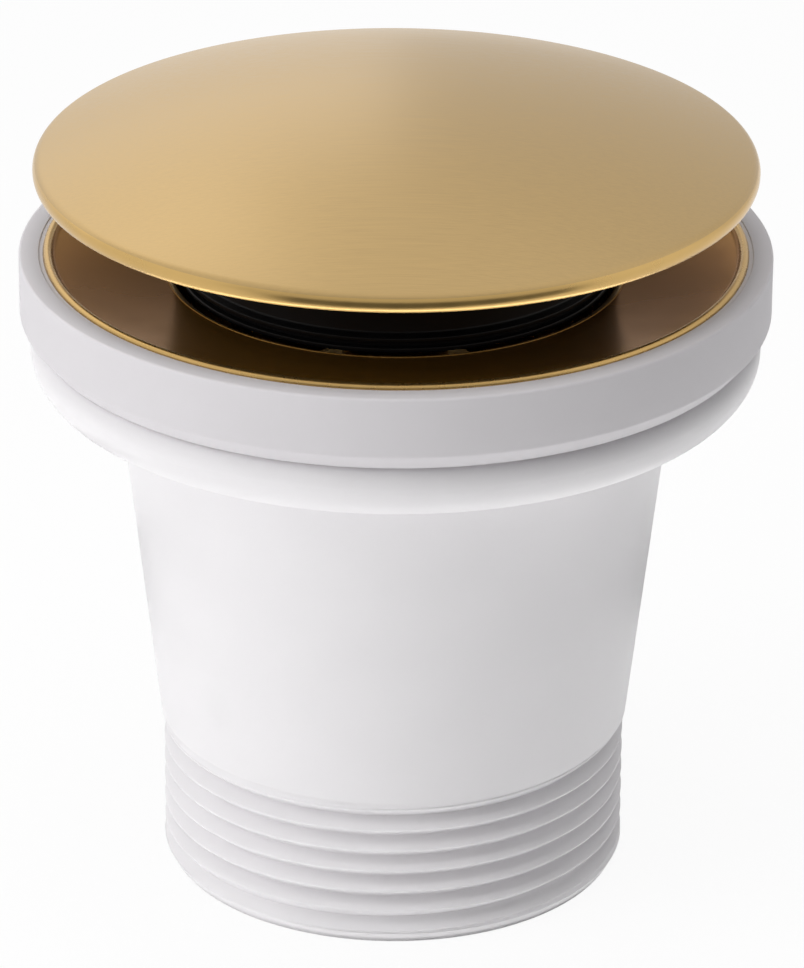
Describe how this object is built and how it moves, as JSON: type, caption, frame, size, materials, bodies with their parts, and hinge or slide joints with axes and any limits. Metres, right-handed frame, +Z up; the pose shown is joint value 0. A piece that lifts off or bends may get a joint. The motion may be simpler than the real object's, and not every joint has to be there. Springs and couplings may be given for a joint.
{
  "type": "sprung plug bath waste",
  "caption": "Push-to-close bath outlet: domed brass plug on a sprung clicker over a dished flange, with a rubber washer and a tapered white body with a threaded tail.",
  "frame": {"origin": "centre of the end face of the threaded tail", "axes": "+Z up the outlet's axis to the cap, +X to the right of the picture, +Y away from it"},
  "size_m": [0.076, 0.076, 0.0831],
  "materials": {
    "brushed_brass": "brushed satin",
    "polished_brass": "polished",
    "brass_fitting": "machined",
    "steel": "plain",
    "spring_steel": "drawn",
    "black_rubber": "smooth",
    "black_plastic": "moulded",
    "grey_rubber": "matte moulded",
    "white_plastic": "satin moulded",
    "white_polymer": "smooth",
    "ivory_polymer": "smooth"
  },
  "bodies": {
    "waste": {"waste_body": "white_plastic", "body_insert": "brass_fitting", "sealing_washer": "grey_rubber", "waste_flange": "polished_brass", "bolt_washer": "steel", "fixing_bolt": "brass_fitting", "clicker_post": "brass_fitting", "track_pins": "steel", "return_spring": "spring_steel"},
    "plug": {"plug_cap": "brushed_brass", "cap_stud": "brass_fitting", "plug_seal": "black_rubber", "seal_carrier": "black_plastic", "carrier_washer": "steel", "seal_nut": "brass_fitting", "clicker_sleeve": "brass_fitting", "plunger": "brass_fitting", "thrust_washer": "white_polymer", "ring_clip": "spring_steel"},
    "cam": {"index_ring": "ivory_polymer", "index_crown": "ivory_polymer"}
  },
  "joints": [
    {"name": "plug_press", "type": "slide", "parent": "waste", "child": "plug", "axis": [0, 0, 1], "range_m": [-0.0073, 0], "stiffness_N_per_m": 1500, "springref_m": 0.008, "deforming": ["return_spring"]},
    {"name": "index_turn", "type": "hinge", "parent": "plug", "child": "cam", "pos_m": [0, 0, 0.07], "axis": [0, 0, 1], "range_deg": [-36.5, 0]}
  ],
  "couplings": [
    {"joint": "index_turn", "follows": "plug_press", "rad_per_m": 86.071}
  ]
}
